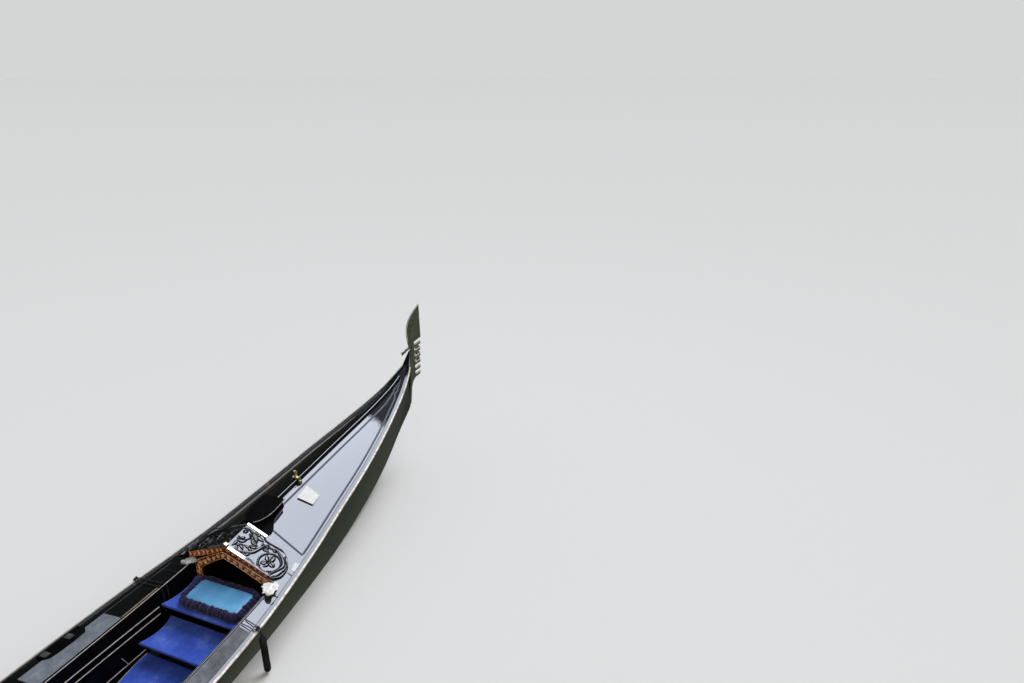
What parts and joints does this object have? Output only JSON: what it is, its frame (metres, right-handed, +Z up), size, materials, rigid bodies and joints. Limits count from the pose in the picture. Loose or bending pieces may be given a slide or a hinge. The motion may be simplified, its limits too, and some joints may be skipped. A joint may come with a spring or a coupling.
{
  "type": "gondola boat",
  "caption": "Long narrow flat-bottomed rowing boat, black, with a toothed steel stem iron, carved fore hatch, blue carpeted steps and a cushioned seat.",
  "frame": {"origin": "amidships, on the straight line from stem to stern, at the waterline", "axes": "+X towards the bow, +Y to port, +Z up"},
  "size_m": [10.8427, 1.4614, 1.931],
  "materials": {
    "lacquer": "gloss",
    "paint": "satin",
    "oak": "satin",
    "mahogany": "satin",
    "walnut": "satin",
    "steel": "polished",
    "brass": "polished",
    "white": "satin",
    "blue_carpet": "matte",
    "blue_satin": "satin",
    "blue_leather": "satin",
    "grey_mat": "matte",
    "rubber": "matte",
    "rope": "matte"
  },
  "bodies": {
    "hull": {"bottom_planking_aft": "paint", "bottom_planking_middle": "paint", "bottom_planking_fore": "paint", "side_planking_port_aft": "lacquer", "side_planking_port_middle": "lacquer", "side_planking_port_fore": "lacquer", "side_planking_starboard_aft": "lacquer", "side_planking_starboard_middle": "lacquer", "side_planking_starboard_fore": "lacquer", "gunwale_port": "lacquer", "gunwale_starboard": "lacquer", "stem_post": "lacquer", "stern_post": "lacquer", "stem_iron": "steel", "stern_iron": "steel", "foredeck_port": "lacquer", "foredeck_starboard": "lacquer", "stern_deck_port": "lacquer", "stern_deck_starboard": "lacquer", "foredeck_ridge_capping": "lacquer", "stern_ridge_capping": "lacquer", "side_deck_port": "lacquer", "side_deck_starboard": "lacquer", "coaming_port": "lacquer", "coaming_starboard": "lacquer", "frames_and_keelson": "oak", "floor_boards": "oak", "arch_board": "mahogany", "stern_board": "lacquer", "upper_step": "blue_carpet", "lower_step": "blue_carpet", "carpeted_platform": "blue_carpet", "step_trestle": "paint", "fringed_cushion": "blue_satin", "deck_mat_port": "grey_mat", "deck_mat_starboard": "grey_mat", "fender_port": "rubber", "fender_starboard": "rubber", "fender_rope_port": "rope", "fender_rope_starboard": "rope", "blank_plate": "white", "brass_holder": "brass", "scroll_bracket_port": "steel", "scroll_bracket_starboard": "steel", "seat_frame": "lacquer", "seat_cushion": "blue_leather", "back_cushion": "blue_leather", "brass_beast_port": "brass", "brass_beast_starboard": "brass", "stool_port": "lacquer", "stool_starboard": "lacquer", "stool_cushion_port": "blue_leather", "stool_cushion_starboard": "blue_leather", "oarlock_socket": "lacquer", "foot_rest": "walnut"},
    "hatch": {"carved_hatch": "lacquer", "hatch_trim_aft": "steel", "hatch_trim_fore": "steel", "hatch_peak_block": "brass"},
    "lock": {"oarlock": "walnut"}
  },
  "joints": [
    {"name": "hatch_lift", "type": "slide", "parent": "hull", "child": "hatch", "axis": [0, 0, 1], "range_m": [0, 0.25]},
    {"name": "oarlock_lift", "type": "slide", "parent": "hull", "child": "lock", "axis": [0, 0, 1], "range_m": [0, 0.3]}
  ]
}
